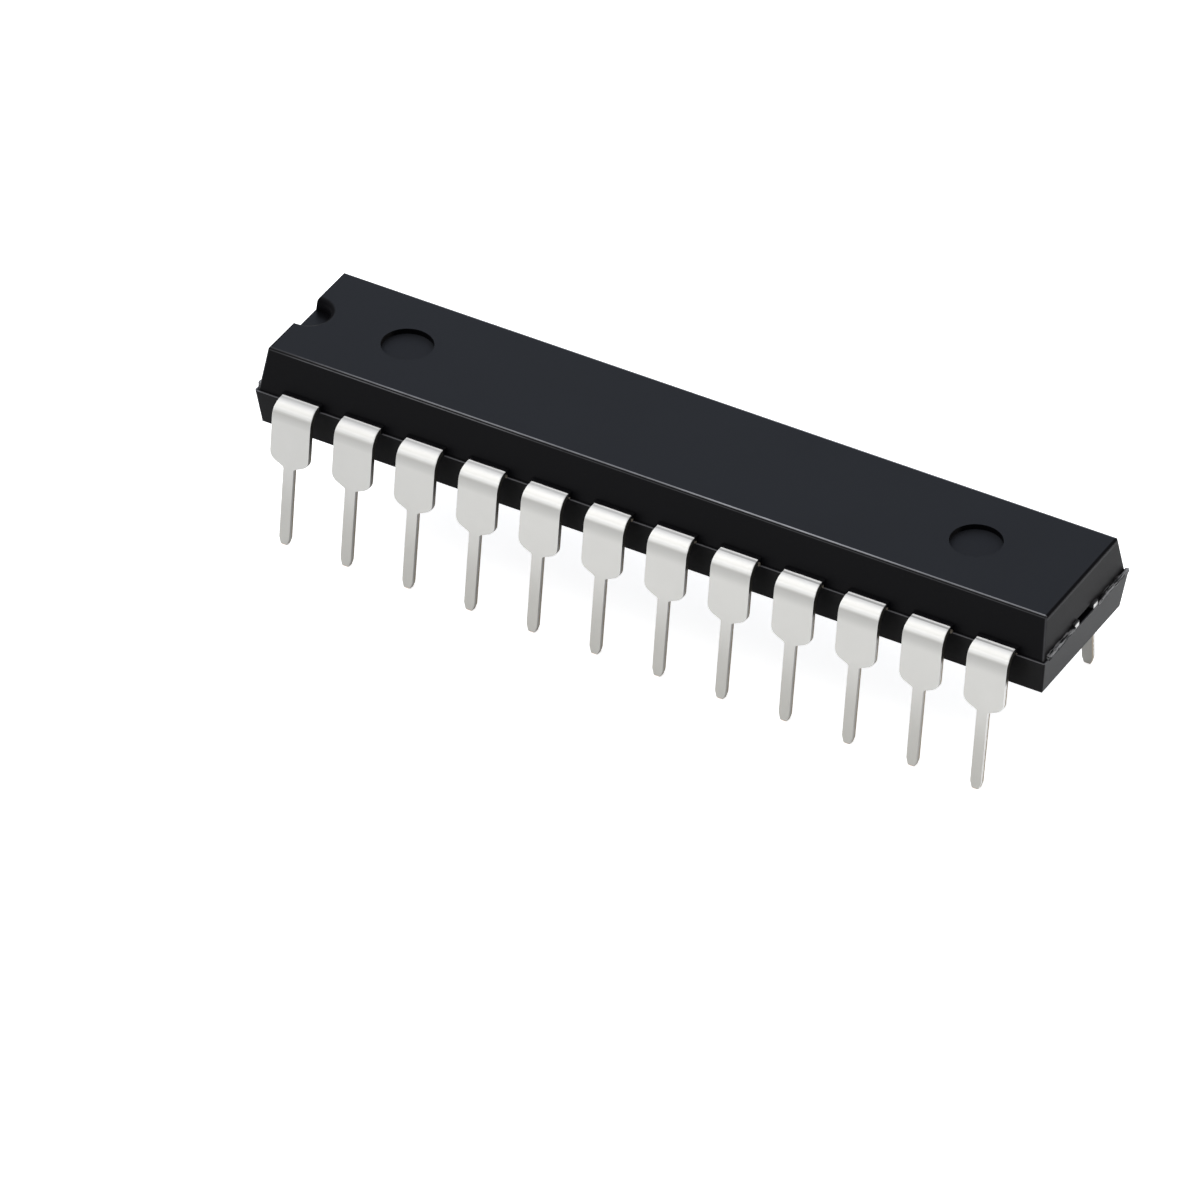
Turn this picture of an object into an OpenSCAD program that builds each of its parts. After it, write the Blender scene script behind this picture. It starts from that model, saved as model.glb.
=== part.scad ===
// Dual in-line integrated circuit package with 24 leads in two rows 0.3 inch apart.
// X runs along the body away from the orientation notch, Z up, the lead tips stand on Z = 0.
// Inside the source the parting plane of the moulding is Z = 0, and the last step lifts it.

/* [Leads] */
// Leads on each long side
leads_per_side = 12; // [8:2:12]
// Distance between neighbouring leads
pitch = 2.54; // [2.2:0.01:2.8]
// Thickness of the lead frame strip
lead_t = 0.24; // [0.2:0.01:0.3]
// Width of a lead where it leaves the body and through its bend
root_w = 1.5; // [1.2:0.01:1.6]
// Width of a lead between the bend and the shoulder
lead_w = 1.58; // [1.3:0.01:1.7]
// Width of the narrow blade that enters the board
blade_w = 0.43; // [0.36:0.01:0.56]
// Inside radius of the bend
bend_r = 0.35; // [0.25:0.01:0.5]
// Straight stub between the body and the bend
stub = 0.1; // [0.05:0.01:0.3]
// Outward splay of the legs in degrees
splay = 5.5; // [0:0.5:8]
// Length of a leg from the end of the bend to its tip
leg_len = 5.11; // [4:0.01:6]
// Length over which a leg widens below the bend
root_taper = 0.5; // [0.2:0.05:1]
// Distance from the bend to the corner of the shoulder
shoulder_at = 1.66; // [1.3:0.01:2]
// Height of the sloping underside of the shoulder
shoulder_drop = 0.27; // [0.15:0.01:0.6]
// Radius of the outer corner of the shoulder
shoulder_r = 0.25; // [0.1:0.01:0.3]
// Radius between the shoulder and the blade
neck_r = 0.08; // [0.04:0.01:0.15]
// Width of the tip of the blade below its two tapers
tip_w = 0.27; // [0.2:0.01:0.34]
// Height of the tapers at the tip of the blade
tip_taper = 0.27; // [0.15:0.01:0.5]
// Radius of the two corners at the tip of the blade
tip_r = 0.05; // [0.03:0.01:0.08]

/* [Moulded body] */
// Distance from the middle of the last lead to the end of the body
end_margin = 1.905; // [1.75:0.005:2.4]
// Width of the body at the parting plane
body_w = 6.35; // [6.1:0.05:7]
// Height of the upper half above the parting plane
upper_h = 1.66; // [1.5:0.01:2]
// Height of the lower half below the parting plane
lower_h = 1.48; // [1.2:0.01:1.8]
// Amount by which the lower half stands proud of the upper half all round
ledge = 0.1; // [0.04:0.01:0.15]
// Draft of the long sides of the upper half in degrees
upper_side_draft = 13.5; // [5:0.5:16]
// Draft of the end faces of the upper half in degrees
upper_end_draft = 5.5; // [4:0.5:12]
// Draft of the long sides of the lower half in degrees
lower_side_draft = 9; // [5:0.5:14]
// Draft of the end faces of the lower half in degrees
lower_end_draft = 6.5; // [4:0.5:12]
// Radius of the edges of the top and bottom faces
edge_r = 0.1; // [0.04:0.01:0.2]
// Radius of the wall of the orientation notch
notch_r = 0.8; // [0.5:0.05:1.2]
// Radius of the rounded lip of the notch
notch_lip_r = 0.2; // [0.05:0.01:0.3]
// Depth of the notch
notch_depth = 0.5; // [0.35:0.01:0.8]
// Distance of the notch axis inboard of the end edge of the top face
notch_inset = 0.1; // [0:0.01:0.3]
// Distance from the middle of an ejector mark to the end of the body
ejector_inset = 4.43; // [3:0.01:6]
// Radius of the ejector marks in the top face
top_ejector_r = 0.96; // [0.6:0.01:1.3]
// Depth of the ejector marks in the top face
top_ejector_depth = 0.22; // [0.05:0.01:0.3]
// Radius of the ejector marks in the underside
bottom_ejector_r = 1.25; // [0.6:0.05:1.5]
// Depth of the ejector marks in the underside
bottom_ejector_depth = 0.1; // [0.05:0.01:0.2]

/* [Lead frame inside the body] */
// Depth to which a lead keeps its full width inside the body
pad_depth = 0.45; // [0.3:0.05:0.7]
// Length over which a lead narrows inside the body
pad_taper = 0.3; // [0.2:0.05:0.4]
// Width of the fingers that run to the die
finger_w = 0.22; // [0.18:0.01:0.24]
// Distance from the outermost lane of fingers to where the fingers start
lane_margin = 0.375; // [0.3:0.005:0.45]
// Gap between the finger ends and the die paddle
finger_gap = 0.3; // [0.25:0.01:0.4]
// Length of the die paddle
paddle_l = 8.8; // [8.4:0.1:9.4]
// Width of the die paddle
paddle_w = 2.6; // [2.2:0.1:2.8]
// Amount by which the paddle is set below the fingers
downset = 0.2; // [0.1:0.01:0.3]
// Run of the joggle between the paddle and its tie bar
joggle = 0.3; // [0.2:0.05:0.4]
// Width of the tie bar along the middle
tie_w = 0.3; // [0.2:0.01:0.34]
// Width of the two prongs in which each tie bar ends
prong_w = 0.3; // [0.2:0.01:0.4]
// Distance between the two prongs
prong_spacing = 1.4; // [1.2:0.05:1.8]
// Length of the prongs inside the end of the body
prong_l = 1; // [0.7:0.05:1.1]
// Distance by which the sheared prongs stand out of the end face, over the ledge
prong_proud = 0.07; // [0.02:0.01:0.09]
// Depth of the window between the prongs in the end face
window_depth = 0.25; // [0.1:0.01:0.35]

/* [Die and wires] */
// Length of the silicon die
die_l = 6; // [5:0.1:7]
// Width of the silicon die
die_w = 1.8; // [1.5:0.1:2]
// Thickness of the silicon die
die_t = 0.35; // [0.25:0.01:0.4]
// Thickness of the adhesive under the die
attach_t = 0.03; // [0.02:0.01:0.06]
// Border of adhesive that shows round the die
attach_border = 0.1; // [0:0.05:0.15]
// Thickness of the bond wires
wire_d = 0.03; // [0.02:0.005:0.05]
// Height of the wire loops above the die
loop_h = 0.2; // [0.12:0.01:0.3]
// Distance from a bond to the edge of the die or the end of the finger
bond_inset = 0.12; // [0.08:0.01:0.2]

/* [Hidden] */
$fn = 48;
two_digits = function (n) str(n < 10 ? "0" : "", n);
lead_count = 2 * leads_per_side;
lead_names = [for (n = [1 : lead_count]) str("lead_", two_digits(n))];
wire_names = [for (n = [1 : lead_count]) str("bond_wire_", two_digits(n))];
edge_steps = 3;
patch_reach = 1.2;
hair = 0.0005;
mould_black = [0.13, 0.13, 0.14];
tin_grey = [0.8, 0.79, 0.76];
copper = [0.72, 0.45, 0.3];
far = 50;

body_l = (leads_per_side - 1) * pitch + 2 * end_margin;

// Half widths and half lengths of the two halves of the body at their three levels
upper_w = body_w / 2 - ledge;
upper_l = body_l / 2 - ledge;
top_w = upper_w - upper_h * tan(upper_side_draft);
top_l = upper_l - upper_h * tan(upper_end_draft);
bottom_w = body_w / 2 - lower_h * tan(lower_side_draft);
bottom_l = body_l / 2 - lower_h * tan(lower_end_draft);

// Lead form
bend_y = body_w / 2 + stub;
bend_angle = 90 - splay;
parting_z = bend_r * (1 - sin(splay)) + leg_len * cos(splay);
exit_y = body_w / 2;
inner_pad_y = upper_w - pad_depth;
finger_start_y = inner_pad_y - pad_taper;

// Die stack levels and the plan of the paddle
paddle_top = lead_t - downset;
attach_top = paddle_top + attach_t;
die_top = attach_top + die_t;
tip_x = paddle_l / 2 + finger_gap;
tip_y = paddle_w / 2 + finger_gap;
fork_x = upper_l - prong_l;
prong_end = upper_l + prong_proud;

// Places along a wire loop, as shares of its run, where it levels out, falls and meets the finger
loop_starts = 0.08;
loop_falls = 0.35;
loop_lands = 0.9;

function unit(v) = v / norm(v);
function left_of(v) = [-v[1], v[0]];
function flip(points) = [for (i = [len(points) - 1 : -1 : 0]) points[i]];

// Polygon with true arcs at its corners, whose points run counterclockwise
module rounded_outline(points, radii) {
    n = len(points);
    difference() {
        union() {
            polygon(points);
            for (i = [0 : n - 1])
                if (radii[i] > 0 && !is_convex(points, i)) corner_patch(points, i, radii[i]);
        }
        for (i = [0 : n - 1])
            if (radii[i] > 0 && is_convex(points, i)) corner_patch(points, i, radii[i]);
    }
}

function neighbour(points, i, step) = points[(i + step + len(points)) % len(points)];
function is_convex(points, i) =
    cross(points[i] - neighbour(points, i, -1), neighbour(points, i, 1) - points[i]) > 0;

// Curved triangle between a corner and the arc that rounds it. It reaches past both sides of the
// corner, and its circle crosses them by a hair, so that the arc meets each side in one clean edge.
module corner_patch(points, i, r) {
    p = points[i];
    u = unit(neighbour(points, i, -1) - p);
    v = unit(neighbour(points, i, 1) - p);
    half = acos(u * v) / 2;
    c = p + unit(u + v) * r / sin(half);
    patch = [p, p + u * r / tan(half), c, p + v * r / tan(half)];
    difference() {
        polygon([for (q = patch) c + patch_reach * (q - c)]);
        translate(c) circle(r + hair);
    }
}

// Points of a strip along a path, with its own half width at each point of the path
function strip(path, half) = let (
    n = len(path),
    into = [for (i = [0 : n - 1]) unit(path[max(i, 1)] - path[max(i, 1) - 1])],
    out = [for (i = [0 : n - 1]) unit(path[min(i, n - 2) + 1] - path[min(i, n - 2)])],
    side = [for (i = [0 : n - 1]) let (m = unit(left_of(into[i] + out[i])))
        m * half[i] / (m * left_of(out[i]))]
) concat([for (i = [0 : n - 1]) path[i] - side[i]], flip([for (i = [0 : n - 1]) path[i] + side[i]]));

// Places a Y-Z profile so that it runs along X, and an X-Z profile so that it runs along Y
module along_x(length) {
    translate([-length / 2, 0, 0]) rotate([90, 0, 90]) linear_extrude(length) children();
}

module along_y(length) {
    translate([0, length / 2, 0]) rotate([90, 0, 0]) linear_extrude(length) children();
}

// Points along an arc, both ends included
function arc(centre, r, from, to) =
    [for (k = [0 : edge_steps]) let (a = from + (to - from) * k / edge_steps) centre + r * [cos(a), sin(a)]];

// Section of the upper half, or of the lower half upside down, with the two edges of its face rounded
module half_section(at_parting, at_face, height) {
    draft = atan((at_parting - at_face) / height);
    inset = edge_r * tan((90 - draft) / 2);
    right = arc([at_face - inset, height - edge_r], edge_r, draft, 90);
    polygon(concat([[-at_parting, 0], [at_parting, 0]], right, [for (p = flip(right)) [-p[0], p[1]]]));
}

module half_block(parting_l, parting_w, face_l, face_w, height) {
    intersection() {
        along_x(far) half_section(parting_w, face_w, height);
        along_y(far) half_section(parting_l, face_l, height);
    }
}

// Pin of the mould that leaves the half-round notch with its rounded lip
module notch_pin() {
    rim = notch_r + notch_lip_r;
    lip = arc([rim, notch_depth - notch_lip_r], notch_lip_r, 180, 90);
    translate([notch_inset - top_l, 0, upper_h - notch_depth]) rotate_extrude()
        polygon(concat([[0, 0], [notch_r, 0]], lip, [[rim, 2 * notch_depth], [0, 2 * notch_depth]]));
}

module ejector_pins(r, depth, face_z) {
    for (side = [-1, 1])
        translate([side * (body_l / 2 - ejector_inset), 0, face_z - depth]) cylinder(r = r, h = 2 * depth);
}

// Openings between the tie bar prongs where they were sheared at the ends of the body
module tie_windows() {
    for (side = [-1, 1])
        translate([side * (upper_l + window_depth), 0, lead_t / 2])
            cube([4 * window_depth, prong_spacing - prong_w, lead_t], center = true);
}

module moulding() {
    difference() {
        union() {
            half_block(upper_l, upper_w, top_l, top_w, upper_h);
            mirror([0, 0, 1]) half_block(body_l / 2, body_w / 2, bottom_l, bottom_w, lower_h);
        }
        notch_pin();
        ejector_pins(top_ejector_r, top_ejector_depth, upper_h);
        ejector_pins(bottom_ejector_r, bottom_ejector_depth, -lower_h);
        tie_windows();
    }
}

// Every lead is drawn on the rear side. The first row from the notch is on the front, turned half round.
module on_side(n) {
    rotate([0, 0, n <= leads_per_side ? 180 : 0]) children();
}

function column(n) = (n - 1) % leads_per_side;
function lead_x(n) = ((leads_per_side - 1) / 2 - column(n)) * pitch;
function is_central(n) = abs(lead_x(n)) < paddle_l / 2;

// The leads beyond the paddle share the room beside the tie bar in lanes, which are counted outward
// from the tie bar. The lead nearest the end of the body takes the first.
lanes = len([for (n = [1 : leads_per_side / 2]) if (!is_central(n)) n]);
lane_pitch = (finger_start_y - lane_margin - tie_w / 2) / lanes;
function lane_of(n) = min(column(n), leads_per_side - 1 - column(n));
function lane_y(n) = tie_w / 2 + lane_pitch * (lane_of(n) + 1) - finger_w / 2;

// Plan of a finger from the side of the body to its end near the die
function finger_path(n) = let (x = lead_x(n), end = sign(x)) concat(
    [[x, exit_y], [x, inner_pad_y], [x, finger_start_y]],
    is_central(n)
        ? [[x, tip_y]]
        : [[x - end * (finger_start_y - lane_y(n)), lane_y(n)], [end * tip_x, lane_y(n)]]);
function finger_half_widths(n) =
    [for (i = [0 : len(finger_path(n)) - 1]) (i < 2 ? root_w : finger_w) / 2];

module finger(n) {
    linear_extrude(lead_t) polygon(strip(finger_path(n), finger_half_widths(n)));
}

// Where the straight stub and the straight leg would meet on the face of radius r, and the tip below
function bend_corner(r) = [bend_y + r * tan(bend_angle / 2), r - bend_r];
function leg_end(r) = bend_corner(r) + (r * tan(bend_angle / 2) + leg_len) * [sin(splay), -cos(splay)];

// Strip of the lead frame bent down beside the body, as seen from the end
module bent_strip() {
    outer_r = bend_r + lead_t;
    rounded_outline(
        [[exit_y, 0], bend_corner(bend_r), leg_end(bend_r), leg_end(outer_r), bend_corner(outer_r),
            [exit_y, lead_t]],
        [0, bend_r, 0, 0, outer_r, 0]);
}

// Outline of a leg in its own plane, with the end of the bend at Y = 0
module leg_outline() {
    neck_at = shoulder_at + shoulder_drop;
    half = [[root_w / 2, bend_r + lead_t + stub], [root_w / 2, 0], [lead_w / 2, -root_taper],
        [lead_w / 2, -shoulder_at], [blade_w / 2, -neck_at], [blade_w / 2, tip_taper - leg_len],
        [tip_w / 2, -leg_len]];
    radii = [0, 0, 0, shoulder_r, neck_r, 0, tip_r];
    rounded_outline(concat([for (p = half) [-p[0], p[1]]], flip(half)), concat(radii, flip(radii)));
}

// Stub, bend and splayed leg outside the body
module lead_outside() {
    intersection() {
        along_x(2 * lead_w) bent_strip();
        translate([0, bend_y, -bend_r]) rotate([splay, 0, 0]) along_y(far) leg_outline();
    }
}

module lead(n) {
    color(tin_grey) on_side(n) {
        finger(n);
        translate([lead_x(n), 0, 0]) lead_outside();
    }
}

// Section of the paddle strip along X, with a joggle at each side of the paddle
module paddle_section() {
    low = -downset;
    flat = paddle_l / 2;
    top = [[-far / 2, lead_t], [-flat - joggle, lead_t], [-flat, low + lead_t], [flat, low + lead_t],
        [flat + joggle, lead_t], [far / 2, lead_t]];
    polygon(concat([for (p = top) [p[0], p[1] - lead_t]], flip(top)));
}

module paddle_plan() {
    square([paddle_l, paddle_w], center = true);
    square([2 * fork_x, tie_w], center = true);
    for (side = [-1, 1]) {
        translate([side * (fork_x - prong_w / 2), 0])
            square([prong_w, prong_spacing + prong_w], center = true);
        for (across = [-1, 1])
            translate([side * (fork_x + prong_end) / 2, across * prong_spacing / 2])
                square([prong_end - fork_x, prong_w], center = true);
    }
}

module die_paddle() {
    color(copper) intersection() {
        along_y(far) paddle_section();
        translate([0, 0, -far / 2]) linear_extrude(far) paddle_plan();
    }
}

module die_attach() {
    color("dimgray") translate([0, 0, paddle_top + attach_t / 2])
        cube([die_l + 2 * attach_border, die_w + 2 * attach_border, attach_t], center = true);
}

module die() {
    color("slategray") translate([0, 0, attach_top + die_t / 2]) cube([die_l, die_w, die_t], center = true);
}

// Ends of a bond wire on the die and on the finger
function die_bond(n) = is_central(n)
    ? [lead_x(n) * die_l / paddle_l, die_w / 2 - bond_inset]
    : [sign(lead_x(n)) * (die_l / 2 - bond_inset), lane_y(n) * (die_w / 2 - bond_inset) / finger_start_y];
function finger_bond(n) = is_central(n)
    ? [lead_x(n), tip_y + bond_inset]
    : [sign(lead_x(n)) * (tip_x + bond_inset), lane_y(n)];

// Wire loop in its own upright plane, from the die at the left down to the finger
module bond_wire(n) {
    from = die_bond(n);
    run = finger_bond(n) - from;
    span = norm(run);
    rise = die_top + loop_h - wire_d / 2;
    path = [[0, die_top - wire_d], [loop_starts * span, rise], [loop_falls * span, rise],
        [loop_lands * span, lead_t + 2 * wire_d], [span, lead_t + wire_d / 2],
        [span + 2 * wire_d, lead_t + wire_d / 2]];
    color("gold") on_side(n) translate([from[0], from[1], 0])
        rotate([0, 0, atan2(run[1], run[0])]) intersection() {
            translate([0, wire_d / 2, 0]) rotate([90, 0, 0]) linear_extrude(wire_d)
                polygon(strip(path, [for (p = path) wire_d / 2]));
            translate([-wire_d, -wire_d, 0]) above_bonds(span);
        }
}

// Space above the die at one end of a wire and above the finger at the other
module above_bonds(span) {
    translate([0, 0, die_top]) cube([span / 2, 2 * wire_d, far]);
    translate([span / 2, 0, lead_t]) cube([span, 2 * wire_d, far]);
}

module body() {
    color(mould_black) difference() {
        moulding();
        for (n = [1 : lead_count]) {
            on_side(n) finger(n);
            bond_wire(n);
        }
        die_paddle();
        die_attach();
        die();
    }
}

// The finished frame, with the lead tips on Z = 0
module place() {
    translate([0, 0, parting_z]) children();
}

place() body();
place() die_paddle();
place() die_attach();
place() die();
for (n = [1 : lead_count]) {
    place() lead(n);
    place() bond_wire(n);
}
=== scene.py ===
import math

import bmesh
import bpy
from mathutils import Matrix, Vector


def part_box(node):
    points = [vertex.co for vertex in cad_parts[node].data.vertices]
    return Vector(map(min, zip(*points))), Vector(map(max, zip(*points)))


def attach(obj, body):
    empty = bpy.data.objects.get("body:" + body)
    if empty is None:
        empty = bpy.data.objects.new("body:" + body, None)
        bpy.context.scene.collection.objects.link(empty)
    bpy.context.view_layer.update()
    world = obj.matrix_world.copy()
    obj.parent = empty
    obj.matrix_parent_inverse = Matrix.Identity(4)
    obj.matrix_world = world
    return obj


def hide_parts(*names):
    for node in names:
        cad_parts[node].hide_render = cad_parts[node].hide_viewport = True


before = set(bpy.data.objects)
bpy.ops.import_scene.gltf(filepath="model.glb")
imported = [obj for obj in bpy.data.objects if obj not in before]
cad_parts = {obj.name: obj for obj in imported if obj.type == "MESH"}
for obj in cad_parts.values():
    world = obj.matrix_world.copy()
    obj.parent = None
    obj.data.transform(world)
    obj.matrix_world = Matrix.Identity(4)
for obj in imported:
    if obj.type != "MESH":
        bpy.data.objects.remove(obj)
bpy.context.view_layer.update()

MM = 0.001

# The picture is taken from far off with a long lens, in front of the first row of leads, from the end
# that has no notch. The angles are those of the line from the target to the camera, and the target
# lies in front of the package because it stands in the upper half of the picture.
strip_t = 0.24 * MM
# The mould parts at the lower face of the strip that the leads are stamped from
parting_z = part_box("lead_06")[1].z - strip_t
picture_px = 1200
focal_px = 12893
camera_azimuth = math.radians(-61.4388)
camera_elevation = math.radians(36.8636)
camera_roll = math.radians(1.2686)
camera_target = Vector((0.7947 * MM, -7.763 * MM, parting_z))
camera_distance = 448.85 * MM

back = Vector((math.cos(camera_elevation) * math.cos(camera_azimuth),
               math.cos(camera_elevation) * math.sin(camera_azimuth), math.sin(camera_elevation)))
level = Vector((-math.sin(camera_azimuth), math.cos(camera_azimuth), 0))
upright = back.cross(level)
right = math.cos(camera_roll) * level + math.sin(camera_roll) * upright
up = math.cos(camera_roll) * upright - math.sin(camera_roll) * level
turn = Matrix((right, up, back)).transposed().to_4x4()

camera_data = bpy.data.cameras.new("camera")
camera_data.sensor_width = 36
camera_data.lens = focal_px / picture_px * camera_data.sensor_width
camera_data.clip_start = 0.01
camera_data.clip_end = 10
camera = bpy.data.objects.new("camera", camera_data)
camera.matrix_world = Matrix.Translation(camera_target + camera_distance * back) @ turn
bpy.context.scene.collection.objects.link(camera)
bpy.context.scene.camera = camera
bpy.context.scene.view_settings.view_transform = "Standard"


# The studio is a plain white table in a white tent, with a cool light over the back of the package
# and soft boxes over its front. The table lets light through from below, so that it hides nothing in
# a low view.
class Wire:
    """A socket in a node tree. Sums and products of such sockets add Math nodes."""

    def __init__(self, tree, socket=None):
        self.tree = tree
        self.socket = socket

    def node(self, kind, settings=None, inputs=None, output=0):
        """Adds a node, sets it, fills its sockets with values or links, and returns one of its outputs."""
        made = self.tree.nodes.new(kind)
        for name, value in (settings or {}).items():
            if name == "stops":
                made.color_ramp.elements.remove(made.color_ramp.elements[1])
                for place, grey in value:
                    stop = made.color_ramp.elements.new(place) if place else made.color_ramp.elements[0]
                    stop.color = (grey, grey, grey, 1)
            else:
                setattr(made, name, value)
        for name, value in (inputs or {}).items():
            for one in value if isinstance(value, list) else [value]:
                if isinstance(one, Wire):
                    self.tree.links.new(one.socket, made.inputs[name])
                else:
                    made.inputs[name].default_value = one
        return Wire(self.tree, made.outputs[output] if made.outputs else None)

    def maths(self, operation, *values):
        return self.node("ShaderNodeMath", {"operation": operation}, dict(enumerate((self, *values))))

    def __add__(self, other):
        return self.maths("ADD", other)

    def __sub__(self, other):
        return self.maths("SUBTRACT", other)

    def __rsub__(self, other):
        return self.maths("MULTIPLY_ADD", -1, other)

    def __mul__(self, other):
        return self.maths("MULTIPLY", other)

    def __abs__(self):
        return self.maths("ABSOLUTE")

    __radd__ = __add__
    __rmul__ = __mul__


def tree_of(owner):
    """The emptied node tree of a material or a world."""
    owner.use_nodes = True
    owner.node_tree.nodes.clear()
    return Wire(owner.node_tree)


def dress(tree, surface):
    """Ends the tree of a material with the surface that it shows."""
    tree.node("ShaderNodeOutputMaterial", None, {"Surface": surface})


def soft_box(name, towards, distance, width, depth, radiance, tint=(1, 1, 1)):
    """A flat soft box that faces the package from a direction, with the radiance of its face."""
    light = bpy.data.lights.new(name, "AREA")
    light.shape = "RECTANGLE"
    light.size = width
    light.size_y = depth
    light.energy = radiance * math.pi * width * depth
    light.color = tint
    lamp = bpy.data.objects.new(name, light)
    direction = Vector(towards).normalized()
    lamp.matrix_world = Matrix.Translation(distance * direction + Vector((0, 0, parting_z))) @ (
        direction.to_track_quat("Z", "Y").to_matrix().to_4x4())
    bpy.context.scene.collection.objects.link(lamp)


cool_white = (0.80, 0.95, 1.25)
soft_box("front_box", (-0.38, -0.18, 0.90), distance=0.6, width=0.6, depth=0.6, radiance=1.65)
soft_box("back_box", (-0.38, 0.70, 0.60), distance=0.6, width=0.5, depth=0.4, radiance=1.15,
         tint=cool_white)
soft_box("left_box", (-0.75, 0.0, 0.65), distance=0.6, width=0.4, depth=0.4, radiance=1.2)

# The tent glows most below the horizon, where the table throws its light back, and evenly above it
room = bpy.data.worlds.new("room")
bpy.context.scene.world = room
room_tree = tree_of(room)
height = room_tree.node("ShaderNodeSeparateXYZ", None,
                        {0: room_tree.node("ShaderNodeTexCoord", output="Generated")}, "Z")
glow = room_tree.node("ShaderNodeValToRGB", {
    "stops": [(0, 1.0), (0.49, 0.85), (0.52, 0.62), (0.66, 0.58), (0.8, 0.6), (1, 0.6)]},
    {0: height * 0.5 + 0.5})
room_tree.node("ShaderNodeOutputWorld", None, {
    0: room_tree.node("ShaderNodeBackground", None, {"Color": glow, "Strength": 1.0})})

# The table that the camera sees is kept whiter than the one that lights and mirrors the package
table_half = 0.6
table_white = (0.8, 0.8, 0.8, 1)
for name, own_light, shown in (("table_top", 0.78, True), ("table_bounce", 0.22, False)):
    sheet = bpy.data.meshes.new(name)
    sheet.from_pydata([(-table_half, -table_half, 0), (table_half, -table_half, 0),
                       (table_half, table_half, 0), (-table_half, table_half, 0)], [], [(0, 1, 2, 3)])
    table = bpy.data.objects.new(name, sheet)
    bpy.context.scene.collection.objects.link(table)
    table.visible_camera = shown
    for ray in ("visible_diffuse", "visible_glossy", "visible_transmission", "visible_shadow"):
        setattr(table, ray, not shown)
    white = bpy.data.materials.new(name)
    tree = tree_of(white)
    lit = tree.node("ShaderNodeAddShader", None, {
        0: tree.node("ShaderNodeEmission", None, {"Color": (1, 1, 1, 1), "Strength": own_light}),
        1: tree.node("ShaderNodeBsdfDiffuse", None, {"Color": table_white})})
    dress(tree, tree.node("ShaderNodeMixShader", None, {
        0: tree.node("ShaderNodeNewGeometry", output="Backfacing"),
        1: lit,
        2: tree.node("ShaderNodeBsdfTransparent")}))
    sheet.materials.append(white)


# The case is one moulding of black epoxy filled with fine silica, pressed round the lead frame in a
# spark-eroded mould, so its faces are satin with a very fine grain. Its two halves are drafted and
# meet at a small ledge, and its edges and the rim of the ledge carry painted highlights as paler lines.
case_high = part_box("body")[1]
end_x = case_high.x
exit_y = case_high.y
upper_h = case_high.z - parting_z
ledge = 0.1 * MM
upper_side_draft = math.radians(13.5)
upper_end_draft = math.radians(5.5)
corner_r = 0.07 * MM
mark_depth = 0.22 * MM
notch_depth = 0.5 * MM
notch_rim = 1.0 * MM
notch_inset = 0.1 * MM
crease = math.radians(35)
weld = 0.0001 * MM


def finish_mesh(source, name):
    """The plain mesh of a bmesh, smooth across soft edges, whose flat faces stay flat to the light."""
    for face in source.faces:
        face.smooth = True
    for edge in source.edges:
        edge.smooth = edge.calc_face_angle(0) < crease
    mesh = bpy.data.meshes.new(name)
    source.to_mesh(mesh)
    holder = bpy.data.objects.new(name, mesh)
    bpy.context.scene.collection.objects.link(holder)
    weighted = holder.modifiers.new("weighted", "WEIGHTED_NORMAL")
    weighted.keep_sharp = True
    graph = bpy.context.evaluated_depsgraph_get()
    plain = bpy.data.meshes.new_from_object(holder.evaluated_get(graph), preserve_all_data_layers=True,
                                            depsgraph=graph)
    bpy.data.objects.remove(holder)
    plain.name = name
    return plain


def piece(name, mesh, material, replaced):
    """A finished piece of the package, which stands for the CAD nodes it is made to replace."""
    made = bpy.data.objects.new(name, mesh)
    mesh.materials.clear()
    mesh.materials.append(material)
    bpy.context.scene.collection.objects.link(made)
    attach(made, "root")
    if replaced:
        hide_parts(*replaced)


# The drafted edges at the four corners of both halves are rounded
corner_zone_x = 0.4 * MM
corner_zone_y = 0.6 * MM
least_upright = 0.8
least_fold = math.radians(50)
coplanar = math.radians(0.5)
case = bmesh.new()
case.from_mesh(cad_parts["body"].data)
bmesh.ops.remove_doubles(case, verts=case.verts, dist=weld)
bmesh.ops.dissolve_limit(case, angle_limit=coplanar, verts=case.verts, edges=case.edges)
corners = []
for edge in case.edges:
    middle = (edge.verts[0].co + edge.verts[1].co) / 2
    run = (edge.verts[1].co - edge.verts[0].co).normalized()
    at_corner = abs(middle.x) > end_x - corner_zone_x and abs(middle.y) > exit_y - corner_zone_y
    if at_corner and abs(run.z) > least_upright and edge.calc_face_angle(0) > least_fold:
        corners.append(edge)
bmesh.ops.bevel(case, geom=corners, offset=corner_r, offset_type="OFFSET", segments=3, profile=0.5,
                affect="EDGES", clamp_overlap=False)
case_mesh = finish_mesh(case, "case")
case.free()


def new_skin(name):
    """A new material, its emptied tree, and the place on the package that its patterns follow."""
    material = bpy.data.materials.new(name)
    tree = tree_of(material)
    return material, tree, tree.node("ShaderNodeTexCoord", output="Object")


def noise(place, scale, detail, roughness=0.5, seed=None):
    """Cloudy noise at a place, finer with a greater scale. Each seed gives a pattern of its own."""
    sockets = {"Vector": place, "Scale": scale, "Detail": detail, "Roughness": roughness}
    if seed is None:
        return place.node("ShaderNodeTexNoise", None, sockets)
    return place.node("ShaderNodeTexNoise", {"noise_dimensions": "4D"}, {**sockets, "W": seed})


def fade(wire, full, none):
    """1 where the value is at full or on its far side from none, falling to 0 at none."""
    return wire.node("ShaderNodeMapRange", {"interpolation_type": "SMOOTHSTEP"},
                     {0: wire, 1: full, 2: none, 3: 1, 4: 0})


def band(wire, middle, full, none):
    """1 where the value is within full of the middle, falling to 0 where it is none away."""
    return fade(abs(wire - middle), full, none)


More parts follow.
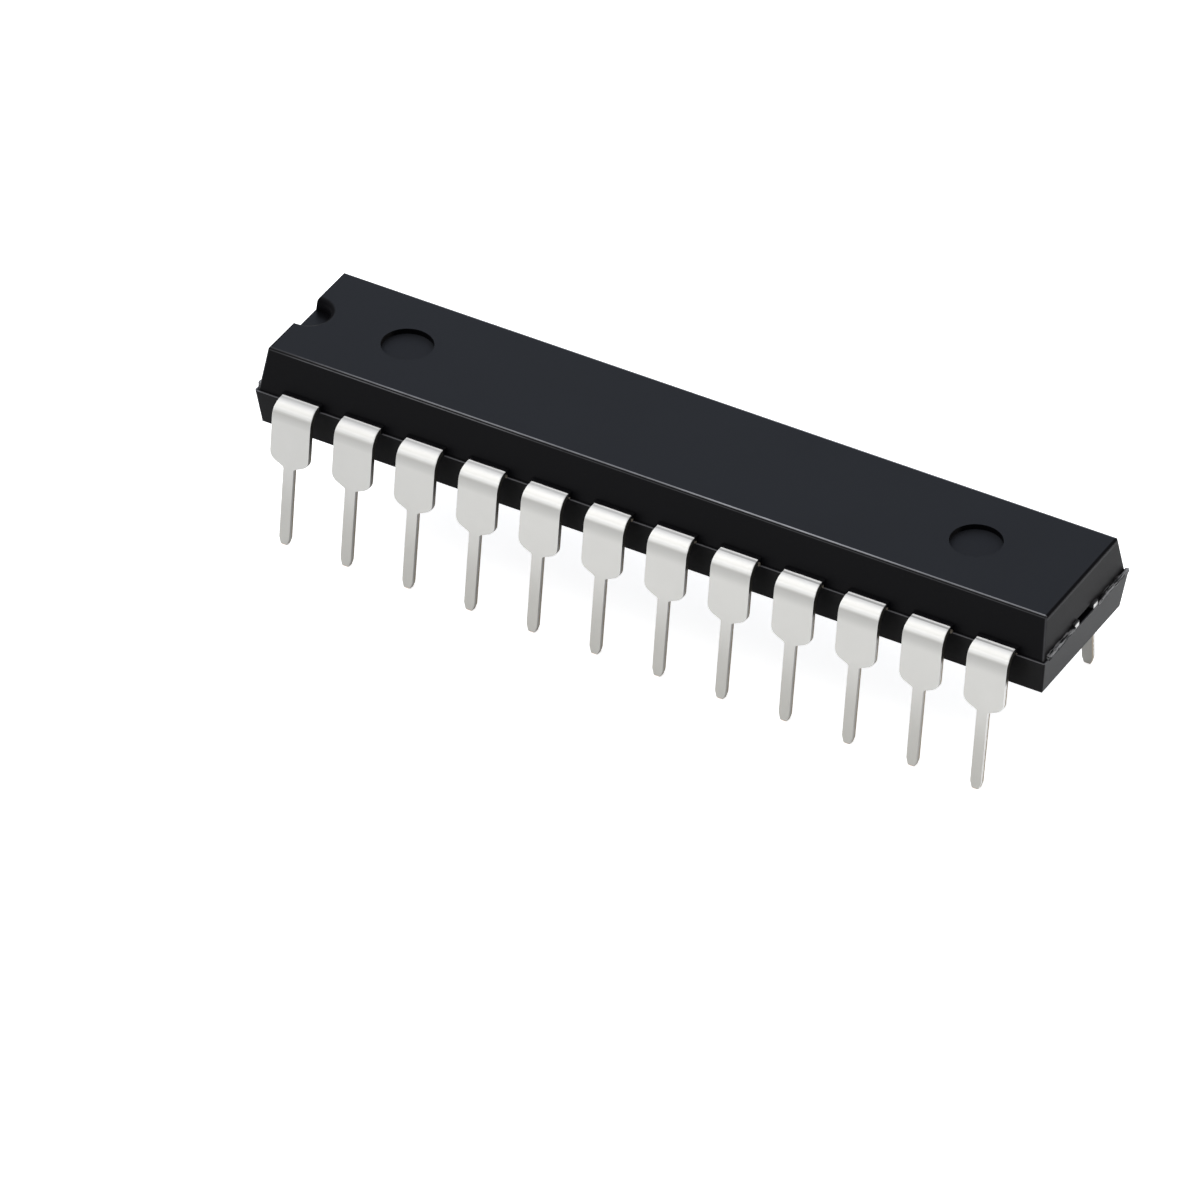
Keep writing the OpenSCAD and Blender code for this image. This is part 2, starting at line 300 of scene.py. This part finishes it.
def largest(*wires):
    """The largest of some values at each place, which is also where any of some masks holds."""
    most = wires[0]
    for wire in wires[1:]:
        most = most.maths("MAXIMUM", wire)
    return most


def axes(place):
    """The three coordinates of a place as wires of their own."""
    return [place.node("ShaderNodeSeparateXYZ", None, {0: place}, letter) for letter in "XYZ"]


def blend(share, first, second):
    """The mix of two colours by a share, each colour three numbers or a wire."""
    ends = [end if isinstance(end, Wire) else (*end, 1) for end in (first, second)]
    return share.node("ShaderNodeMix", {"data_type": "RGBA"},
                      {"Factor": share, "A": ends[0], "B": ends[1]}, 2)


# Grey of the painted highlights on the case's edges, corners and ledge rim
painted_highlight_grey = (0.35, 0.35, 0.37)
pin_grey = (0.011, 0.012, 0.015)
# Near-black of the painted shade on the wall of the notch and the edges over the ends
painted_shade_black = (0.005, 0.005, 0.006, 1)
epoxy, tree, place = new_skin("black_epoxy")
along, across, up_from_floor = axes(place)
lift = up_from_floor - parting_z
facing = axes(tree.node("ShaderNodeNewGeometry", output="Normal"))
grain = noise(place, 16000.0, 3.0)
cloud = noise(place, 260.0, 4.0)
highlight_mottle = noise(place, 2200.0, 3.0)

# How far below the top face, and how far in from the drafted sides and from the rim of the ledge
below_top = upper_h - lift
in_side = (exit_y - ledge) - lift * math.tan(upper_side_draft) - abs(across)
in_end = (end_x - ledge) - lift * math.tan(upper_end_draft) - abs(along)
out_side = exit_y - abs(across)
out_end = end_x - abs(along)

# The rounded edge over each row of leads carries a painted highlight along both of its borders, the upper
# one most past the middle of the package and least at the notch, and the lower one mostly near the notch
clear_of_notch = fade(along, -10 * MM, -15.5 * MM)
past_middle = band(along, 5.5 * MM, 1.5 * MM, 6 * MM)
near_notch = band(along, -10 * MM, 3.5 * MM, 5.5 * MM)
top_highlight = clear_of_notch * 0.48 + (past_middle * 0.36 + 0.08)
side_highlight = near_notch * 0.19 + 0.1
top_line = band(in_side, 0.06 * MM, 0.01 * MM, 0.04 * MM) * fade(below_top, 0.03 * MM, 0.06 * MM)
side_line = band(below_top, 0.07 * MM, 0.008 * MM, 0.03 * MM) * fade(in_side, 0.01 * MM, 0.04 * MM)

# The border under the edge over each end, the corners of the upper half and the rim of the ledge carry
# fainter painted highlights
under_edge = band(below_top, 0.16 * MM, 0.02 * MM, 0.06 * MM) * fade(in_end, 0.01 * MM, 0.03 * MM)
corner = fade(largest(in_side, in_end), 0.02 * MM, 0.08 * MM) * fade(lift, 0.02 * MM, 0)
rim = fade(abs(lift), 0.012 * MM, 0.03 * MM) * (
    fade(out_side.maths("MINIMUM", out_end), 0.02 * MM, 0.07 * MM))
painted_highlights = largest(top_line * top_highlight, side_line * side_highlight, rim * 0.32, corner * 0.18, under_edge * 0.08)

# The faces of the ends carry painted light: they are greyer than the others, and those of the lower half
# most
moulded = blend(cloud, (0.0014, 0.0014, 0.0020), (0.0026, 0.0026, 0.0034))
end_painted_light = blend(fade(lift, 0, 0.02 * MM), (0.013, 0.0125, 0.013), (0.036, 0.036, 0.036))
greyed = blend(fade(abs(facing[0]), 0.95, 0.85), moulded, end_painted_light)
tint = blend(painted_highlights * (highlight_mottle * 0.6 + 0.6), greyed, painted_highlight_grey)
relief = tree.node("ShaderNodeBump", None, {"Height": grain, "Strength": 0.25, "Distance": 0.004 * MM})

# The pins of the mould were duller than its faces, so the floors of their marks are matt, and their colour
# is painted lighter against the shade by their walls. The wall of the notch and the rounded edges over the
# ends are painted shade, a matt near-black that hardly shines.
end_edge = fade(largest(below_top, in_end), 0.05 * MM, 0.09 * MM)
pin_floor = band(below_top, mark_depth, 0.03 * MM, 0.05 * MM) * fade(facing[2], 0.9, 0.8)
from_axis = along + (end_x - ledge - upper_h * math.tan(upper_end_draft) - notch_inset)
notch_reach = (from_axis * from_axis + across * across).maths("SQRT")
notch_wall = fade(notch_reach, notch_rim, notch_rim + 0.1 * MM) * (
    fade(below_top, 0.03 * MM, 0.005 * MM) * fade(below_top, notch_depth - 0.04 * MM, notch_depth))
case_skin = tree.node("ShaderNodeBsdfPrincipled", None, {
    "Base Color": blend(pin_floor, tint, pin_grey), "IOR": 1.18, "Normal": relief,
    "Roughness": cloud * 0.1 + pin_floor * 0.3 + 0.33})
painted_shade_skin = tree.node("ShaderNodeBsdfDiffuse", None, {"Color": painted_shade_black})
dress(tree, tree.node("ShaderNodeMixShader", None, {
    0: largest(notch_wall * 0.8, end_edge * 0.6), 1: case_skin, 2: painted_shade_skin}))
piece("case", case_mesh, epoxy, ["body"])


# Thin flash of the same epoxy stands on the ledge at both ends, between the corners and the cut ties
# of the lead frame, where the mould was relieved to let the air out. It is left ragged where it broke.
flash_thick = 0.12 * MM
flash_high = 0.17 * MM
flash_sunk = 0.015 * MM
flash_out = 0.4 * flash_thick


def geometry_tree(name, inputs):
    """A Geometry Nodes tree that takes a mesh and named inputs and returns a mesh."""
    tree = bpy.data.node_groups.new(name, "GeometryNodeTree")
    tree.interface.new_socket("Mesh", in_out="INPUT", socket_type="NodeSocketGeometry")
    tree.interface.new_socket("Mesh", in_out="OUTPUT", socket_type="NodeSocketGeometry")
    for label, kind in inputs.items():
        tree.interface.new_socket(label, in_out="INPUT", socket_type="NodeSocket" + kind)
    given = tree.nodes.new("NodeGroupInput")
    return Wire(tree), {socket.name: Wire(tree, socket) for socket in given.outputs if socket.name}


def roughen(tree, mesh, lumps, reach):
    """The mesh pushed in and out along its normals, by lumps around 0 times a reach."""
    push = tree.node("ShaderNodeVectorMath", {"operation": "SCALE"}, {
        0: tree.node("GeometryNodeInputNormal"), "Scale": lumps * reach})
    return tree.node("GeometryNodeSetPosition", None, {"Geometry": mesh, "Offset": push})


def hand_over(tree, mesh, material):
    """Ends a tree with the mesh in its material."""
    tree.node("NodeGroupOutput", None, {
        0: tree.node("GeometryNodeSetMaterial", None, {"Geometry": mesh, "Material": material})})


def grow(mesh, tree, values):
    """The plain mesh that a Geometry Nodes tree makes from a mesh and the values of its inputs."""
    holder = bpy.data.objects.new(mesh.name, mesh)
    bpy.context.scene.collection.objects.link(holder)
    modifier = holder.modifiers.new("grow", "NODES")
    modifier.node_group = tree
    for item in tree.interface.items_tree:
        if item.name in values:
            modifier[item.identifier] = values[item.name]
    bpy.context.view_layer.update()
    graph = bpy.context.evaluated_depsgraph_get()
    made = bpy.data.meshes.new_from_object(holder.evaluated_get(graph), preserve_all_data_layers=True,
                                           depsgraph=graph)
    bpy.data.objects.remove(holder)
    return made


def drawn_out(place, factors):
    """The place with its coordinates scaled, so that a pattern on it runs long where they are small."""
    return place.node("ShaderNodeVectorMath", {"operation": "MULTIPLY"}, {0: place, 1: factors})


strips, given = geometry_tree("ragged_strips", {
    "Size": "Vector", "Steps": "Int", "Raggedness": "Float", "Seed": "Float", "Compound": "Material"})
bar = strips.node("GeometryNodeMeshCube", None, {
    "Size": given["Size"], "Vertices X": 4, "Vertices Y": given["Steps"], "Vertices Z": 5})
bars = strips.node("GeometryNodeRealizeInstances", None, {
    "Geometry": strips.node("GeometryNodeInstanceOnPoints", None, {
        "Points": given["Mesh"], "Instance": bar})})
lumps = noise(drawn_out(strips.node("GeometryNodeInputPosition"), (1, 0.3, 1)), 6500.0, 2.0,
              roughness=0.6, seed=given["Seed"])
hand_over(strips, roughen(strips, bars, lumps - 0.45, given["Raggedness"]), given["Compound"])

flash_skin, tree, place = new_skin("epoxy_flash")
# Paler streaks in the flash's colour are painted highlights along its ribs; the same streaks vary its
# roughness
highlight_streaks = noise(drawn_out(place, (1, 0.1, 1)), 13000.0, 2.0, roughness=0.6)
dress(tree, tree.node("ShaderNodeBsdfPrincipled", None, {
    "Base Color": blend(fade(highlight_streaks, 0.58, 0.46), (0.003, 0.003, 0.0035), (0.22, 0.22, 0.225)),
    "Roughness": highlight_streaks * 0.3 + 0.35, "IOR": 1.3}))

for name, start_y, end_y in (("front_flash", -2.85 * MM, -0.9 * MM), ("rear_flash", 0.87 * MM, 3.1 * MM)):
    seats = bpy.data.meshes.new(name)
    seats.from_pydata([(end * (end_x - ledge + flash_out), (start_y + end_y) / 2,
                        parting_z + flash_high / 2 - flash_sunk) for end in (-1, 1)], [], [])
    flash_mesh = grow(seats, strips.tree, {
        "Size": (flash_thick, end_y - start_y, flash_high), "Steps": 60,
        "Raggedness": 0.16 * MM, "Seed": 3.0, "Compound": flash_skin})
    piece(name, flash_mesh, flash_skin, [])


# The leads are stamped from copper alloy strip in one frame, so their edges are rolled over on the
# face that the punch enters and torn on the other. They are bent down beside the case and plated with
# tin, and are cut from the frame last, which leaves bare copper at the tips.
leads_per_side = 12
root_w = 1.5 * MM
lead_w = 1.58 * MM
blade_w = 0.43 * MM
tip_w = 0.27 * MM
bend_r = 0.35 * MM
stub = 0.1 * MM
pad_in = 0.55 * MM
splay = math.radians(5.5)
leg_len = 5.11 * MM
flat_at = 0.5 * MM
shoulder_at = 1.66 * MM
shoulder_drop = 0.27 * MM
shoulder_r = 0.4 * MM
neck_r = 0.08 * MM
tip_taper = 0.27 * MM
taper_r = 0.3 * MM
tip_r = 0.05 * MM
rolled_r = 0.03 * MM
torn_r = 0.02 * MM
pitch = (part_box("lead_07")[0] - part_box("lead_06")[0]).x
bend_angle = math.pi / 2 - splay
bend_len = (bend_r + strip_t / 2) * bend_angle
leg_start = stub + bend_len
leg_end = leg_start + leg_len
corner_steps = 5
bend_steps = 14
widening_steps = 8
columns = 5


def round_corners(points, radii):
    """Points of an open line whose corners are rounded with arcs."""
    line = [Vector(points[0])]
    for before, corner, after, radius in zip(points, points[1:], points[2:], radii):
        corner = Vector(corner)
        if radius == 0:
            line.append(corner)
            continue
        into = (Vector(before) - corner).normalized()
        out = (Vector(after) - corner).normalized()
        half = into.angle(out) / 2
        middle = corner + (into + out).normalized() * radius / math.sin(half)
        start = corner + into * radius / math.tan(half) - middle
        end = corner + out * radius / math.tan(half) - middle
        begin = math.atan2(start.y, start.x)
        sweep = (math.atan2(end.y, end.x) - begin + math.pi) % (2 * math.pi) - math.pi
        for step in range(corner_steps + 1):
            heading = begin + sweep * step / corner_steps
            line.append(middle + radius * Vector((math.cos(heading), math.sin(heading))))
    return line + [Vector(points[-1])]


# Half widths of the flat blank and how far along the strip they are from the side of the case. The
# lead widens over the first steps of the bend, and the point at flat_at ends the shading of the bend.
half_outline = [Vector((root_w / 2, -pad_in)), Vector((root_w / 2, 0))]
for step in range(bend_steps + 1):
    spread = (lead_w - root_w) / 2 * min(step / widening_steps, 1)
    half_outline.append(Vector((root_w / 2 + spread, stub + bend_len * step / bend_steps)))
half_outline += round_corners(
    [(lead_w / 2, leg_start), (lead_w / 2, leg_start + flat_at), (lead_w / 2, leg_start + shoulder_at),
     (blade_w / 2, leg_start + shoulder_at + shoulder_drop), (blade_w / 2, leg_end - tip_taper),
     (tip_w / 2, leg_end), (0, leg_end)],
    [0, shoulder_r, neck_r, taper_r, tip_r])[1:-1]

# Across the edge of the strip: how far in from the outline, how far below the outer face, and how
# much of the sheared side shows there. The rolled corner is an arc, and the torn one is cut off.
rolled_shares = (0, 0.1, 0.5, 1, 1)
edge_profile = [(1.3 * rolled_r, 0, 0)]
for step, sheared in enumerate(rolled_shares):
    heading = math.pi / 2 * step / (len(rolled_shares) - 1)
    edge_profile.append((rolled_r * (1 - math.sin(heading)), rolled_r * (1 - math.cos(heading)), sheared))
edge_profile += [(0, strip_t / 2, 1), (0, strip_t - torn_r, 1), (0.3 * torn_r, strip_t - 0.3 * torn_r, 1),
                 (torn_r, strip_t, 0), (2 * torn_r, strip_t, 0)]


def bend_strip(x, along, below):
    """Place of a point of the flat blank once the lead is bent. The bend's axis is the origin."""
    radius = bend_r + strip_t - below
    turned = min(max((along - stub) / bend_len, 0), 1) * bend_angle
    beyond = along - min(max(along, stub), leg_start)
    return Vector((x, radius * math.sin(turned) + beyond * math.cos(turned),
                   radius * math.cos(turned) - beyond * math.sin(turned)))


def outward(line, i):
    """Direction in which the blank's outline faces at one of the points of its half."""
    if i == 0:
        return Vector((1, 0))
    before = line[i - 1]
    after = line[i + 1] if i + 1 < len(line) else Vector((-line[i].x, line[i].y))
    first = (line[i] - before).normalized()
    second = (after - line[i]).normalized()
    run = first + second
    return Vector((run.y, -run.x)).normalized()


# The blank is a grid of cross sections, each with a row of points for every step of the edge profile.
# Only the rows on the two broad faces, and all rows at the tip, have points between their ends.
blank = bmesh.new()
side_layer = blank.verts.layers.float.new("side")
depth_layer = blank.verts.layers.float.new("depth")
bare_layer = blank.verts.layers.float.new("bare")
last = len(half_outline) - 1
sections = []
for i, point in enumerate(half_outline):
    away = outward(half_outline, i)
    section = []
    for k, (inset, below, sheared) in enumerate(edge_profile):
        at = point - inset * away
        if i == last:
            at.y = point.y - inset
        filled = i == last or k in (0, len(edge_profile) - 1)
        row = []
        for column in range(columns + 1):
            if 0 < column < columns and not filled:
                row.append(None)
                continue
            vert = blank.verts.new(bend_strip(at.x * (2 * column / columns - 1), at.y, below))
            vert[side_layer] = sheared
            vert[depth_layer] = below / strip_t
            vert[bare_layer] = 1 if i == last and sheared > 0 else 0
            row.append(vert)
        section.append(row)
    sections.append(section)

for here, there in zip(sections, sections[1:]):
    for k in range(len(edge_profile) - 1):
        blank.faces.new((here[k][0], here[k + 1][0], there[k + 1][0], there[k][0]))
        blank.faces.new((there[k][-1], there[k + 1][-1], here[k + 1][-1], here[k][-1]))
    for column in range(columns):
        blank.faces.new((here[0][column + 1], here[0][column], there[0][column], there[0][column + 1]))
        blank.faces.new((here[-1][column], here[-1][column + 1], there[-1][column + 1], there[-1][column]))
tip = sections[-1]
for upper, lower in zip(tip, tip[1:]):
    for column in range(columns):
        blank.faces.new((upper[column + 1], upper[column], lower[column], lower[column + 1]))
root = sections[0]
blank.faces.new(root[0] + [row[-1] for row in root[1:-1]]
                + root[-1][::-1] + [row[0] for row in root[-2:0:-1]])
bmesh.ops.recalc_face_normals(blank, faces=blank.faces)
for face in blank.faces:
    face.smooth = True
lead_mesh = bpy.data.meshes.new("lead_blank")
blank.to_mesh(lead_mesh)
blank.free()

# Among the plating's colours are painted highlights and painted shade, as the marks below say
root_tin = (0.72, 0.72, 0.72)
highlight_tin = (0.98, 0.98, 0.97)
painted_shade_tin = (0.02, 0.02, 0.02)
low_shade_tin = (0.44, 0.43, 0.40)
rolled_highlight_tin = (0.95, 0.95, 0.93)
lit_side_tin = (0.98, 0.98, 0.96)
torn_metal = (0.50, 0.44, 0.35)
bare_copper = (0.55, 0.33, 0.20)
side_shade_black = (0.012, 0.012, 0.011, 1)
tin, tree, place = new_skin("tin_plate")
mottle = noise(place, 900.0, 5.0)
tearing = noise(place, 7000.0, 4.0)
side, depth, bare = [tree.node("ShaderNodeAttribute", {"attribute_name": label}, output="Fac")
                     for label in ("side", "depth", "bare")]
along, across, height = axes(place)
plate = blend(mottle, (0.66, 0.655, 0.63), (0.72, 0.715, 0.69))

# Painted highlights lie on the plating at the root and over the curve, and painted shade beside them and
# faintly over the leads at the notch end. Each mark is a band at a distance out from the case or down from
# the top of the strip.
out = abs(across) - exit_y
drop = (parting_z + strip_t) - height
on_top = fade(drop, strip_t, 0.4 * MM)
at_root = fade(out, 0.2 * MM, 0.5 * MM) * on_top
bend_highlight = largest(fade(out, 0.06 * MM, 0.1 * MM) * on_top * 0.9,
                   band(drop, 0.225 * MM, 0.03 * MM, 0.09 * MM) * 0.5)
beside_root = band(out, 0.145 * MM, 0.02 * MM, 0.06 * MM) * on_top
bend_shade = largest(beside_root * (fade(along, 6 * MM, -1 * MM) * 0.3 + 0.15),
                  fade(drop, 0.36 * MM, 0.29 * MM) * fade(drop, 0.45 * MM, 0.9 * MM) * 0.2,
                  fade(along, -14 * MM, -3 * MM) * 0.09)
highlighted_plate = blend(bend_highlight, blend(at_root, plate, root_tin), highlight_tin)

# The plating is painted darker down the blades and on the inner face, as painted shade, and lighter where
# the edge is rolled, as a painted highlight
low = fade(height, 1.2 * MM, 3.7 * MM)
inner = fade(depth, 1.0, 0.9)
shaded_plate = blend(largest(low * 0.48, inner), blend(bend_shade, highlighted_plate, painted_shade_tin), low_shade_tin)
rolled = side * (1 - side) * 4
edged = blend(rolled * (1 - low) * 0.5, shaded_plate, rolled_highlight_tin)

# The sheared sides are painted nearly black with painted shade beside the case, and less further down and
# towards the end without a notch, where the side of the last lead is painted light. Where they are torn
# they are brownish.
flank = fade(side, 0.95, 0.6)
torn = side * fade(depth + tearing * 0.5 - 0.25, 0.6, 0.5)
by_case = fade(height, 4.75 * MM, 4.4 * MM)
last_lead = fade(along, 13.5 * MM, 11.5 * MM)
lit_last_side = blend(flank * last_lead * (1 - by_case), edged, lit_side_tin)
sheared_tin = blend(torn, lit_last_side, torn_metal)
dimmed = (fade(height, 4.9 * MM, 2.9 * MM) * 0.65 + 0.3) * (1 - 0.95 * fade(along, 14 * MM, -6 * MM))
side_shade = flank * (1 - bare) * largest(dimmed, by_case * 0.95)
skin = tree.node("ShaderNodeBsdfPrincipled", None, {
    "Base Color": blend(bare, sheared_tin, bare_copper), "Metallic": 0.8 - at_root * 0.45,
    "Roughness": mottle * 0.08 + torn * 0.15 + 0.50})
side_shade_skin = tree.node("ShaderNodeBsdfDiffuse", None, {"Color": side_shade_black})
dress(tree, tree.node("ShaderNodeMixShader", None, {0: side_shade, 1: skin, 2: side_shade_skin}))


def row_points(tree, given, shift=0):
    """Points on the pitch of the leads, centred on the package and then shifted along it."""
    span = (given["Leads in a row"] - 1) * given["Pitch"]
    return tree.node("GeometryNodeMeshLine", {"mode": "OFFSET"}, {
        "Count": given["Leads in a row"],
        "Start Location": tree.node("ShaderNodeCombineXYZ", None, {"X": span * -0.5 + shift}),
        "Offset": tree.node("ShaderNodeCombineXYZ", None, {"X": given["Pitch"]})})


def seat_row(tree, row, seat, turned):
    """A row of instances moved out to its seat and turned round to its side of the case."""
    moved = tree.node("GeometryNodeTranslateInstances", None, {
        "Instances": row, "Translation": seat, "Local Space": False})
    return tree.node("GeometryNodeTransform", None, {"Geometry": moved, "Rotation": (0, 0, turned)})


def one_mesh(tree, sides):
    """The rows of both sides as real geometry."""
    return tree.node("GeometryNodeRealizeInstances", None, {
        "Geometry": tree.node("GeometryNodeJoinGeometry", None, {"Geometry": sides})})


def random_value(tree, kind, sockets, seed, output):
    """A value drawn for each lead. The node has sockets for each kind of value, known by number."""
    return tree.node("FunctionNodeRandomValue", {"data_type": kind}, {**sockets, 8: seed}, output)


rows, given = geometry_tree("lead_rows", {
    "Leads in a row": "Int", "Pitch": "Float", "Bend axis": "Vector", "Scatter": "Float", "Seed": "Int",
    "Plating": "Material"})
sides = []
for turned, seed_step in ((math.pi, 0), (0, 1)):
    seed = given["Seed"] + seed_step
    lean = random_value(rows, "FLOAT", {2: given["Scatter"] * -1, 3: given["Scatter"]}, seed, 1)
    row = rows.node("GeometryNodeInstanceOnPoints", None, {
        "Points": row_points(rows, given), "Instance": given["Mesh"],
        "Rotation": rows.node("ShaderNodeCombineXYZ", None, {"X": lean})})
    sides.append(seat_row(rows, row, given["Bend axis"], turned))
hand_over(rows, one_mesh(rows, sides), given["Plating"])

row_mesh = grow(lead_mesh, rows.tree, {
    "Leads in a row": leads_per_side, "Pitch": pitch, "Scatter": math.radians(0.25), "Seed": 4,
    "Bend axis": (0, exit_y + stub, parting_z - bend_r), "Plating": tin})

# Inside the case each lead goes on as the flat finger of the frame, cut where the blank takes over
lead_names = sorted(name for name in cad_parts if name.startswith("lead_"))
joined = bmesh.new()
joined.from_mesh(row_mesh)
for name in lead_names:
    finger = bmesh.new()
    finger.from_mesh(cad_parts[name].data)
    bmesh.ops.remove_doubles(finger, verts=finger.verts, dist=weld)
    outer = 1 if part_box(name)[1].y > exit_y else -1
    bmesh.ops.bisect_plane(finger, geom=finger.verts[:] + finger.edges[:] + finger.faces[:],
                           plane_co=(0, outer * (exit_y - pad_in), 0), plane_no=(0, outer, 0),
                           clear_outer=True)
    bmesh.ops.holes_fill(finger, edges=[edge for edge in finger.edges if edge.is_boundary])
    finger_mesh = bpy.data.meshes.new("finger")
    finger.to_mesh(finger_mesh)
    finger.free()
    copper_share = finger_mesh.attributes.new("bare", "FLOAT", "POINT")
    copper_share.data.foreach_set("value", [1.0] * len(finger_mesh.vertices))
    joined.from_mesh(finger_mesh)
leads_mesh = bpy.data.meshes.new("leads")
joined.to_mesh(leads_mesh)
joined.free()
piece("leads", leads_mesh, tin, lead_names)


# The epoxy creeps a little way out along the top and sides of each lead's root, over the ledge, and
# sets there as a thin black collar.
collar_size = (root_w + 0.08 * MM, 0.18 * MM, 0.27 * MM)
collar_seat = (0, exit_y - 0.085 * MM, parting_z + 0.125 * MM)
collars, given = geometry_tree("root_collars", {
    "Leads in a row": "Int", "Pitch": "Float", "Size": "Vector", "Root": "Vector",
    "Raggedness": "Float", "Seed": "Float", "Compound": "Material"})
ring = collars.node("GeometryNodeMeshCube", None, {
    "Size": given["Size"], "Vertices X": 14, "Vertices Y": 3, "Vertices Z": 4})
sides = []
for turned in (0, math.pi):
    row = collars.node("GeometryNodeInstanceOnPoints", None, {
        "Points": row_points(collars, given), "Instance": ring})
    sides.append(seat_row(collars, row, given["Root"], turned))
lumps = noise(collars.node("GeometryNodeInputPosition"), 3500.0, 2.0, seed=given["Seed"])
crept = roughen(collars, one_mesh(collars, sides), lumps - 0.5, given["Raggedness"])
hand_over(collars, crept, given["Compound"])

collar_skin, tree, place = new_skin("crept_epoxy")
smear = noise(place, 5000.0, 3.0)
dress(tree, tree.node("ShaderNodeBsdfPrincipled", None, {
    "Base Color": blend(smear, (0.001, 0.001, 0.0015), (0.006, 0.006, 0.007)),
    "Roughness": smear * 0.3 + 0.35, "IOR": 1.15}))
collar_mesh = grow(bpy.data.meshes.new("collar_seed"), collars.tree, {
    "Leads in a row": leads_per_side, "Pitch": pitch, "Size": collar_size, "Root": collar_seat,
    "Raggedness": 0.05 * MM, "Seed": 5.0, "Compound": collar_skin})
piece("root_collars", collar_mesh, collar_skin, [])


# Small burrs are left beside the roots of most leads, where the bar that joined them in the frame and
# held the epoxy back in the mould was punched out.
burr_size = 0.055 * MM
burr_beside = root_w / 2 + 0.02 * MM
burr_seat = (0, exit_y - 0.02 * MM, parting_z + 0.05 * MM)
nubs, given = geometry_tree("dam_bar_burrs", {
    "Leads in a row": "Int", "Pitch": "Float", "Beside": "Float", "Root": "Vector", "Size": "Float",
    "Share": "Float", "Seed": "Int", "Finish": "Material"})
ball = nubs.node("GeometryNodeMeshIcoSphere", None, {"Radius": given["Size"], "Subdivisions": 2})
sides = []
for turned, hand, seed_step in ((0, -1, 0), (0, 1, 1), (math.pi, -1, 2), (math.pi, 1, 3)):
    seed = given["Seed"] + seed_step
    chosen = random_value(nubs, "BOOLEAN", {6: given["Share"]}, seed, 3)
    stretch = random_value(nubs, "FLOAT_VECTOR", {0: (0.5, 0.5, 0.6), 1: (1.1, 1.4, 2.0)}, seed, 0)
    burrs = nubs.node("GeometryNodeInstanceOnPoints", None, {
        "Points": row_points(nubs, given, given["Beside"] * hand), "Selection": chosen,
        "Instance": ball, "Scale": stretch})
    sides.append(seat_row(nubs, burrs, given["Root"], turned))
lumps = noise(nubs.node("GeometryNodeInputPosition"), 14000.0, 2.0)
rough = roughen(nubs, one_mesh(nubs, sides), lumps - 0.5, given["Size"])
hand_over(nubs, rough, given["Finish"])

burr_skin, tree, place = new_skin("punched_burr")
speck = noise(place, 12000.0, 3.0)
dress(tree, tree.node("ShaderNodeBsdfPrincipled", None, {
    "Base Color": blend(speck, (0.06, 0.05, 0.04), (0.24, 0.21, 0.17)), "Metallic": 0.6,
    "Roughness": speck * 0.3 + 0.4}))
burr_mesh = grow(bpy.data.meshes.new("burr_seed"), nubs.tree, {
    "Leads in a row": leads_per_side, "Pitch": pitch, "Beside": burr_beside, "Root": burr_seat,
    "Size": burr_size, "Share": 0.6, "Seed": 11, "Finish": burr_skin})
piece("dam_bar_burrs", burr_mesh, burr_skin, [])


# The pad under the chip is part of the same stamped copper frame. Its ties come out at the ends of the
# case, where a film of epoxy covers all but their cut ends.
epoxy_film = (0.03, 0.03, 0.032)
cut_metal = (0.85, 0.85, 0.83)
paddle_skin, tree, place = new_skin("frame_copper")
spot = axes(place)
rolling = noise(drawn_out(place, (0.1, 1, 1)), 9000.0, 3.0)
from_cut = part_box("die_paddle")[1].x - abs(spot[0])
outside = fade(from_cut, 0.25 * MM, 0.3 * MM)
above = spot[2] - parting_z - rolling * 0.08 * MM
cut = fade(from_cut, 0.008 * MM, 0.016 * MM) * fade(above, 0.12 * MM, 0.15 * MM)
copper = blend(rolling, (0.50, 0.29, 0.17), (0.60, 0.36, 0.22))
filmed = blend(outside, copper, epoxy_film)
dress(tree, tree.node("ShaderNodeBsdfPrincipled", None, {
    "Base Color": blend(cut, filmed, cut_metal), "Roughness": rolling * 0.15 + 0.4,
    "Metallic": largest(1 - outside, cut * 0.6)}))
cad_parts["die_paddle"].material_slots[0].material = paddle_skin


# The chip is glued to its pad with grey epoxy full of silver flakes. It is dosed on the pad as a
# paste, and sets in an oven before the wires are bonded.
glue, tree, place = new_skin("silver_glue")
flakes = tree.node("ShaderNodeTexVoronoi", None, {"Vector": place, "Scale": 30000.0})
dress(tree, tree.node("ShaderNodeBsdfPrincipled", None, {
    "Base Color": blend(flakes, (0.50, 0.50, 0.49), (0.32, 0.32, 0.32)), "Metallic": 0.5,
    "Roughness": flakes * 0.3 + 0.4}))
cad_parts["die_attach"].material_slots[0].material = glue


# The chip itself is silicon, polished on its face and sawn from a wafer, so its sides are duller. It
# lies face up on the glue.
silicon, tree, place = new_skin("silicon")
chip_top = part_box("die")[1].z
film = noise(place, 600.0, 2.0)
sawn = fade(axes(place)[2], chip_top - 0.02 * MM, chip_top - 0.01 * MM)
dress(tree, tree.node("ShaderNodeBsdfPrincipled", None, {
    "Base Color": blend(film, (0.07, 0.075, 0.10), (0.13, 0.12, 0.16)), "Metallic": 0.8,
    "Roughness": sawn * 0.35 + 0.12}))
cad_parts["die"].material_slots[0].material = silicon


# A drawn gold wire joins the chip to each lead. It is welded by heat and pressure to the chip at one
# end and to the silvered end of the lead's finger at the other.
gold, tree, place = new_skin("gold_wire")
drawing = noise(place, 4000.0, 2.0)
dress(tree, tree.node("ShaderNodeBsdfPrincipled", None, {
    "Base Color": blend(drawing, (0.80, 0.55, 0.18), (0.88, 0.64, 0.26)), "Metallic": 1.0,
    "Roughness": drawing * 0.1 + 0.2}))
for name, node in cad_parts.items():
    if name.startswith("bond_wire"):
        node.material_slots[0].material = gold
